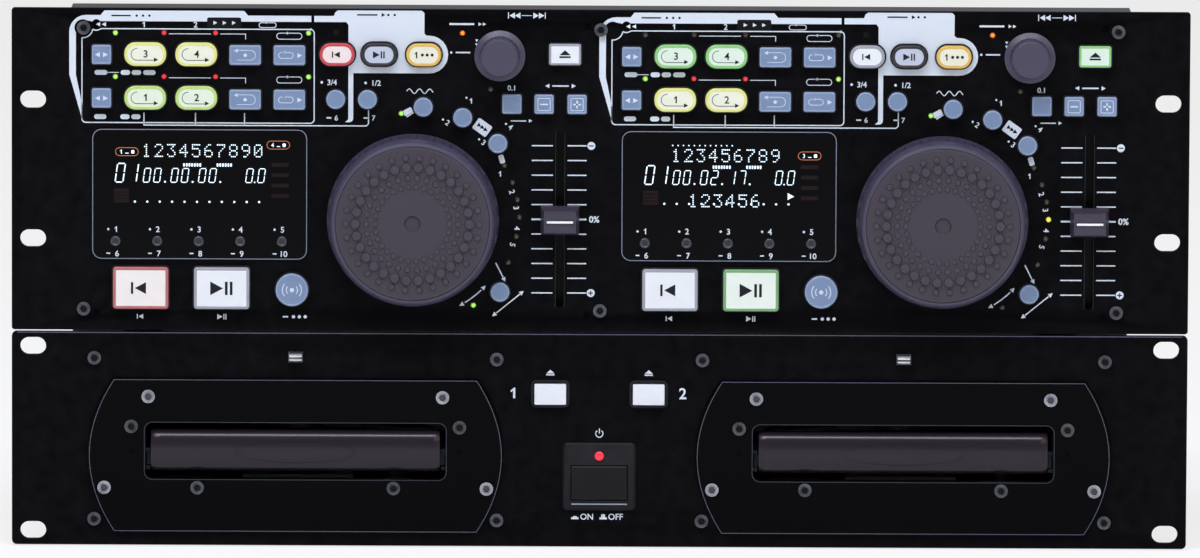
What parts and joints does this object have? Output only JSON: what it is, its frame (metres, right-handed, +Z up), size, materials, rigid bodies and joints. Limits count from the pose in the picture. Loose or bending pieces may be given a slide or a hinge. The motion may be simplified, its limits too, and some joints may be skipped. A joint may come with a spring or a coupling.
{
  "type": "rack disc player",
  "caption": "Rack disc player for mixing: a remote controller with jog wheels, faders and lit keys stands on a drive unit with sliding disc trays.",
  "frame": {"origin": "middle of the underside, where the drive unit rests", "axes": "+Z up, -Y to the front where the controls and trays are, +X to the user's right"},
  "size_m": [0.4826, 0.28, 0.2215],
  "materials": {
    "black_paint": "semi-matt black paint",
    "case_steel": "zinc-plated sheet",
    "black_plastic": "moulded black",
    "board_green": "circuit board",
    "smoked_window": "smoked clear plastic",
    "display_glass": "dark display glass",
    "lamp_lens": "clear coloured lens",
    "zinc": "plated steel",
    "grey_key": "blue-grey keys",
    "clear_key": "translucent white keys",
    "jog_plastic": "moulded anthracite",
    "jog_rubber": "dimpled rubber",
    "tray_plastic": "moulded tray",
    "gloss_black": "gloss black",
    "chrome_screw": "bright screws",
    "black_screw": "blackened steel",
    "foot_rubber": "rubber",
    "white_gear": "natural acetal",
    "shaft_steel": "ground steel"
  },
  "bodies": {
    "unit": {"black_screws": "black_screw", "bright_screws": "chrome_screw", "clamp_bridge_1": "zinc", "clamp_bridge_2": "zinc", "controller_board": "board_green", "controller_case": "black_paint", "controller_feet": "foot_rubber", "controller_lamps": "lamp_lens", "controller_panel": "black_paint", "display_tubes": "display_glass", "display_windows": "smoked_window", "drive_base": "case_steel", "drive_bezels": "gloss_black", "drive_cover": "case_steel", "drive_key_frames": "black_plastic", "drive_panel": "black_paint", "encoders": "zinc", "fader_tracks": "zinc", "key_frame": "black_plastic", "loader_frame_1": "black_plastic", "loader_frame_2": "black_plastic", "main_board": "board_green", "mains_inlet": "black_plastic", "power_supply": "board_green", "rear_sockets": "zinc"},
    "cue_key_1": {"cue_key_1": "clear_key"},
    "play_key_1": {"play_key_1": "clear_key"},
    "tap_key_1": {"tap_key_1": "grey_key"},
    "cue_key_2": {"cue_key_2": "clear_key"},
    "play_key_2": {"play_key_2": "clear_key"},
    "tap_key_2": {"tap_key_2": "grey_key"},
    "hot_start_keys": {"hot_start_keys": "clear_key"},
    "track_keys": {"track_keys": "clear_key"},
    "round_keys": {"round_keys": "grey_key"},
    "square_keys": {"square_keys": "grey_key"},
    "drive_open_key_1": {"drive_open_key_1": "clear_key"},
    "drive_open_key_2": {"drive_open_key_2": "clear_key"},
    "power_button": {"power_button": "black_plastic"},
    "jog_1": {"jog_wheel_1": "jog_plastic", "jog_pad_1": "jog_rubber"},
    "pitch_fader_1": {"pitch_fader_1": "jog_plastic"},
    "knob_shaft_1": {"knob_shaft_1": "shaft_steel"},
    "track_knob_1": {"track_knob_1": "jog_plastic"},
    "tray_1": {"tray_1": "tray_plastic", "tray_front_1": "gloss_black"},
    "tray_pinion_1": {"tray_pinion_1": "white_gear"},
    "traverse_1": {"traverse_1": "zinc"},
    "turntable_1": {"turntable_1": "black_plastic"},
    "pickup_1": {"pickup_1": "black_plastic"},
    "jog_2": {"jog_wheel_2": "jog_plastic", "jog_pad_2": "jog_rubber"},
    "pitch_fader_2": {"pitch_fader_2": "jog_plastic"},
    "knob_shaft_2": {"knob_shaft_2": "shaft_steel"},
    "track_knob_2": {"track_knob_2": "jog_plastic"},
    "tray_2": {"tray_2": "tray_plastic", "tray_front_2": "gloss_black"},
    "tray_pinion_2": {"tray_pinion_2": "white_gear"},
    "traverse_2": {"traverse_2": "zinc"},
    "turntable_2": {"turntable_2": "black_plastic"},
    "pickup_2": {"pickup_2": "black_plastic"}
  },
  "joints": [
    {"name": "cue_key_1_press", "type": "slide", "parent": "unit", "child": "cue_key_1", "axis": [0, 1, 0], "range_m": [0, 0.0016], "stiffness_N_per_m": 400},
    {"name": "play_key_1_press", "type": "slide", "parent": "unit", "child": "play_key_1", "axis": [0, 1, 0], "range_m": [0, 0.0016], "stiffness_N_per_m": 400},
    {"name": "tap_key_1_press", "type": "slide", "parent": "unit", "child": "tap_key_1", "axis": [0, 1, 0], "range_m": [0, 0.0016], "stiffness_N_per_m": 400},
    {"name": "cue_key_2_press", "type": "slide", "parent": "unit", "child": "cue_key_2", "axis": [0, 1, 0], "range_m": [0, 0.0016], "stiffness_N_per_m": 400},
    {"name": "play_key_2_press", "type": "slide", "parent": "unit", "child": "play_key_2", "axis": [0, 1, 0], "range_m": [0, 0.0016], "stiffness_N_per_m": 400},
    {"name": "tap_key_2_press", "type": "slide", "parent": "unit", "child": "tap_key_2", "axis": [0, 1, 0], "range_m": [0, 0.0016], "stiffness_N_per_m": 400},
    {"name": "hot_start_keys_press", "type": "slide", "parent": "unit", "child": "hot_start_keys", "axis": [0, 1, 0], "range_m": [0, 0.0009], "stiffness_N_per_m": 400},
    {"name": "track_keys_press", "type": "slide", "parent": "unit", "child": "track_keys", "axis": [0, 1, 0], "range_m": [0, 0.0009], "stiffness_N_per_m": 400},
    {"name": "round_keys_press", "type": "slide", "parent": "unit", "child": "round_keys", "axis": [0, 1, 0], "range_m": [0, 0.0009], "stiffness_N_per_m": 400},
    {"name": "square_keys_press", "type": "slide", "parent": "unit", "child": "square_keys", "axis": [0, 1, 0], "range_m": [0, 0.0009], "stiffness_N_per_m": 400},
    {"name": "drive_open_key_1_press", "type": "slide", "parent": "unit", "child": "drive_open_key_1", "axis": [0, 1, 0], "range_m": [0, 0.0016], "stiffness_N_per_m": 400},
    {"name": "drive_open_key_2_press", "type": "slide", "parent": "unit", "child": "drive_open_key_2", "axis": [0, 1, 0], "range_m": [0, 0.0016], "stiffness_N_per_m": 400},
    {"name": "power_button_press", "type": "slide", "parent": "unit", "child": "power_button", "axis": [0, 1, 0], "range_m": [0, 0.003], "stiffness_N_per_m": 300},
    {"name": "jog_1_spin", "type": "hinge", "parent": "unit", "child": "jog_1", "pos_m": [-0.0768, -0.121, 0.135], "axis": [0, 1, 0], "continuous": true},
    {"name": "pitch_fader_1_slide", "type": "slide", "parent": "unit", "child": "pitch_fader_1", "axis": [0, 0, 1], "range_m": [-0.03, 0.03]},
    {"name": "knob_1_push", "type": "slide", "parent": "unit", "child": "knob_shaft_1", "axis": [0, 1, 0], "range_m": [0, 0.0008], "stiffness_N_per_m": 800},
    {"name": "knob_1_turn", "type": "hinge", "parent": "knob_shaft_1", "child": "track_knob_1", "pos_m": [-0.0414, -0.121, 0.2027], "axis": [0, 1, 0], "continuous": true},
    {"name": "tray_1_slide", "type": "slide", "parent": "unit", "child": "tray_1", "axis": [0, -1, 0], "range_m": [0, 0.135]},
    {"name": "pinion_1_spin", "type": "hinge", "parent": "unit", "child": "tray_pinion_1", "pos_m": [-0.08335, -0.097, 0.03], "axis": [0, 0, 1], "range_deg": [-980, 5]},
    {"name": "traverse_1_lift", "type": "hinge", "parent": "unit", "child": "traverse_1", "pos_m": [-0.1248, 0.036, 0.022], "axis": [-1, 0, 0], "range_deg": [0, 2.7]},
    {"name": "turntable_1_spin", "type": "hinge", "parent": "traverse_1", "child": "turntable_1", "pos_m": [-0.1248, -0.049, 0.03], "axis": [0, 0, 1], "continuous": true},
    {"name": "pickup_1_slide", "type": "slide", "parent": "traverse_1", "child": "pickup_1", "axis": [0, 1, 0], "range_m": [0, 0.034]},
    {"name": "jog_2_spin", "type": "hinge", "parent": "unit", "child": "jog_2", "pos_m": [0.1402, -0.121, 0.135], "axis": [0, 1, 0], "continuous": true},
    {"name": "pitch_fader_2_slide", "type": "slide", "parent": "unit", "child": "pitch_fader_2", "axis": [0, 0, 1], "range_m": [-0.03, 0.03]},
    {"name": "knob_2_push", "type": "slide", "parent": "unit", "child": "knob_shaft_2", "axis": [0, 1, 0], "range_m": [0, 0.0008], "stiffness_N_per_m": 800},
    {"name": "knob_2_turn", "type": "hinge", "parent": "knob_shaft_2", "child": "track_knob_2", "pos_m": [0.1756, -0.121, 0.2027], "axis": [0, 1, 0], "continuous": true},
    {"name": "tray_2_slide", "type": "slide", "parent": "unit", "child": "tray_2", "axis": [0, -1, 0], "range_m": [0, 0.135]},
    {"name": "pinion_2_spin", "type": "hinge", "parent": "unit", "child": "tray_pinion_2", "pos_m": [0.16625, -0.097, 0.03], "axis": [0, 0, 1], "range_deg": [-980, 5]},
    {"name": "traverse_2_lift", "type": "hinge", "parent": "unit", "child": "traverse_2", "pos_m": [0.1248, 0.036, 0.022], "axis": [-1, 0, 0], "range_deg": [0, 2.7]},
    {"name": "turntable_2_spin", "type": "hinge", "parent": "traverse_2", "child": "turntable_2", "pos_m": [0.1248, -0.049, 0.03], "axis": [0, 0, 1], "continuous": true},
    {"name": "pickup_2_slide", "type": "slide", "parent": "traverse_2", "child": "pickup_2", "axis": [0, 1, 0], "range_m": [0, 0.034]}
  ],
  "couplings": [
    {"joint": "pinion_1_spin", "follows": "tray_1_slide", "rad_per_m": -125},
    {"joint": "pinion_2_spin", "follows": "tray_2_slide", "rad_per_m": -125}
  ]
}
